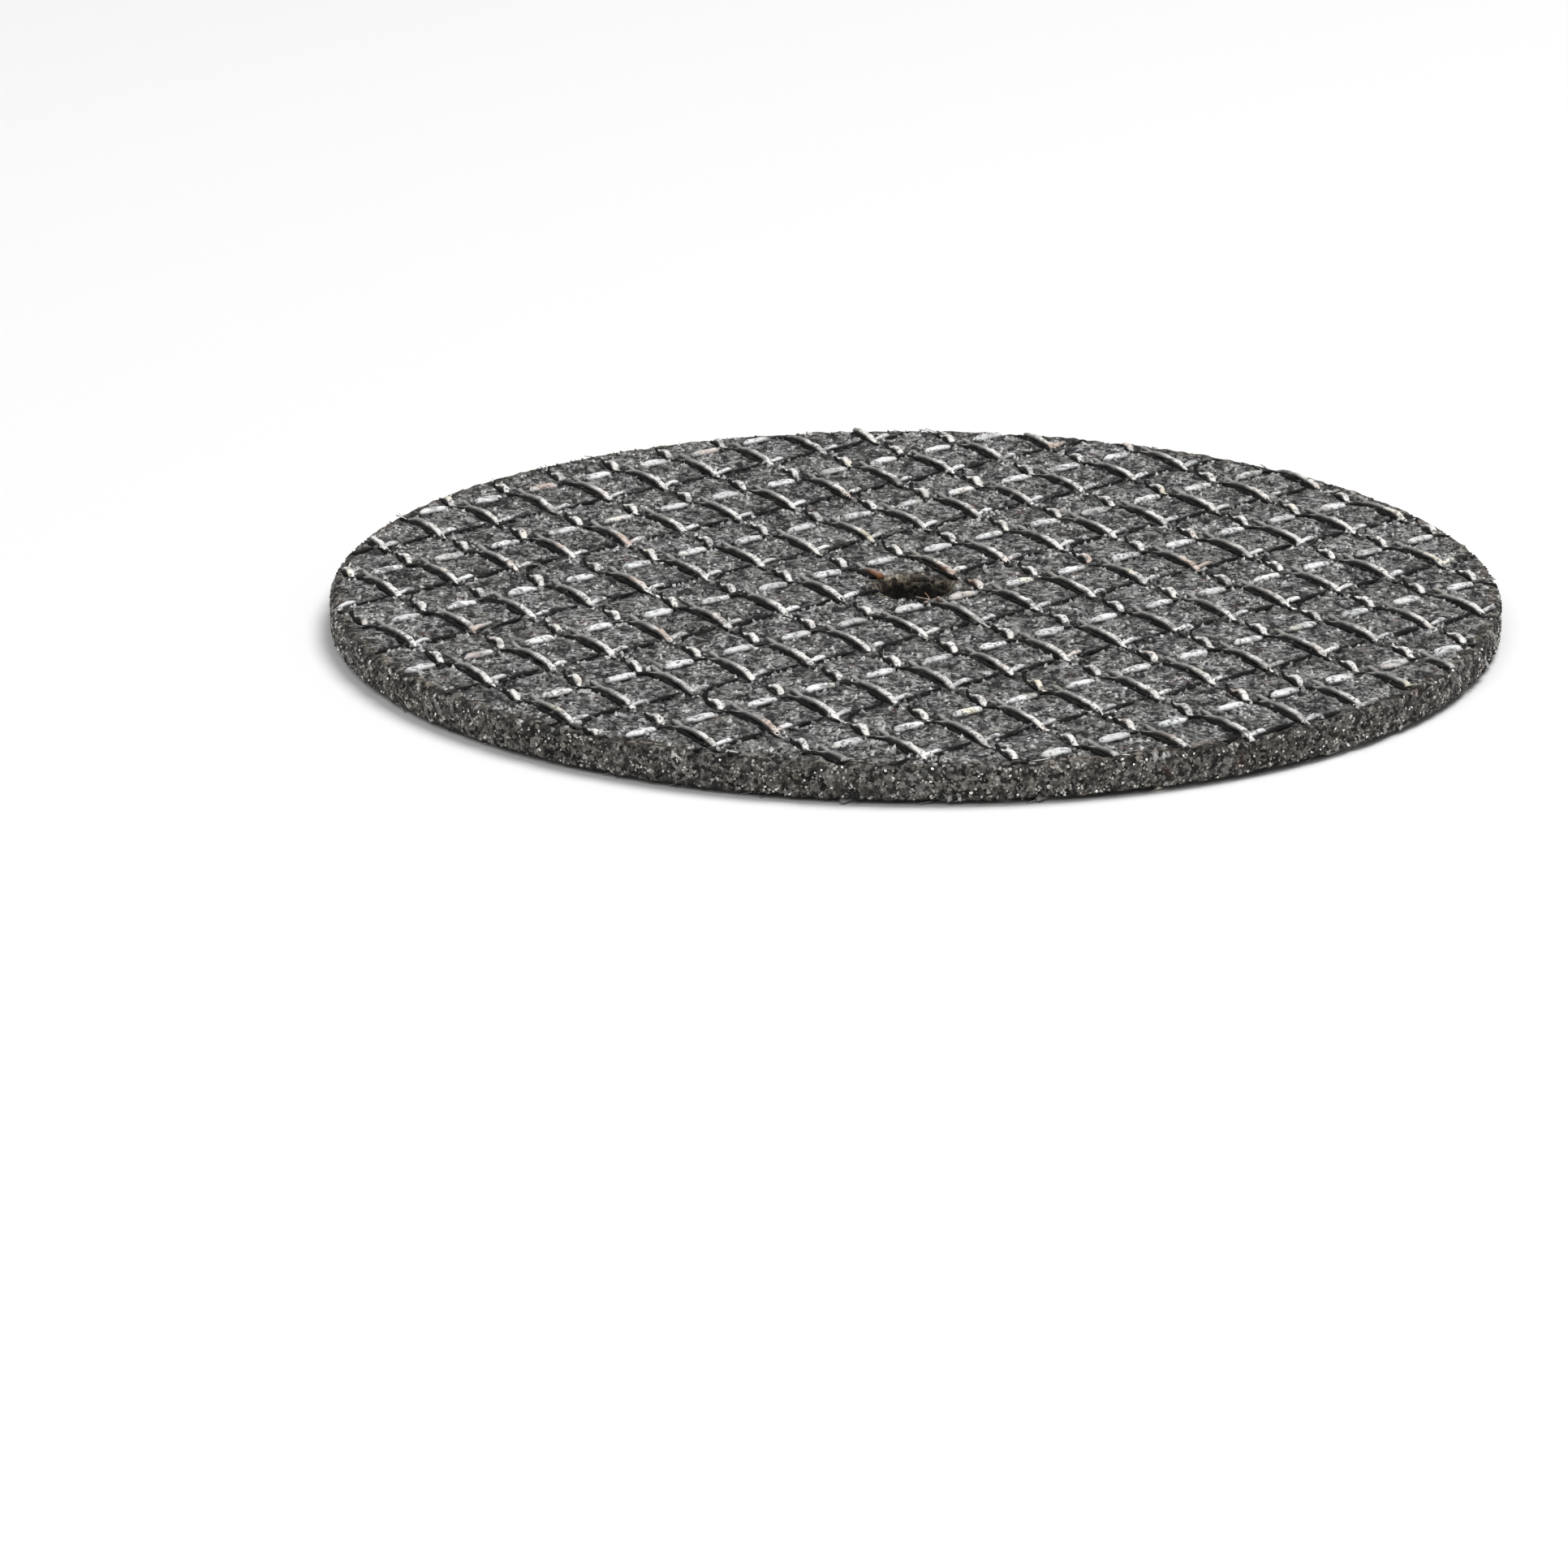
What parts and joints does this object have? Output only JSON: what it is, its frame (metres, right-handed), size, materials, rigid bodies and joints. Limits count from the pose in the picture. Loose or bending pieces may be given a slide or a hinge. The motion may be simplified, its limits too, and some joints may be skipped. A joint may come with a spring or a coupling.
{
  "type": "cut off wheel",
  "caption": "Thin round abrasive cut-off wheel with a small mandrel bore and a coarse woven glass mesh proud of both faces.",
  "frame": {"origin": "on the bore axis, at the level of the lowest mesh crowns, on which the wheel lies", "axes": "+Z along the bore axis, out of the upper face; +X and +Y in the wheel's plane"},
  "size_m": [0.032, 0.032, 0.0012],
  "materials": {
    "abrasive": "rough dark grey grit in resin bond, with pale glass strands on both faces"
  },
  "bodies": {
    "root": {"cut_off_wheel": "abrasive"}
  },
  "joints": []
}
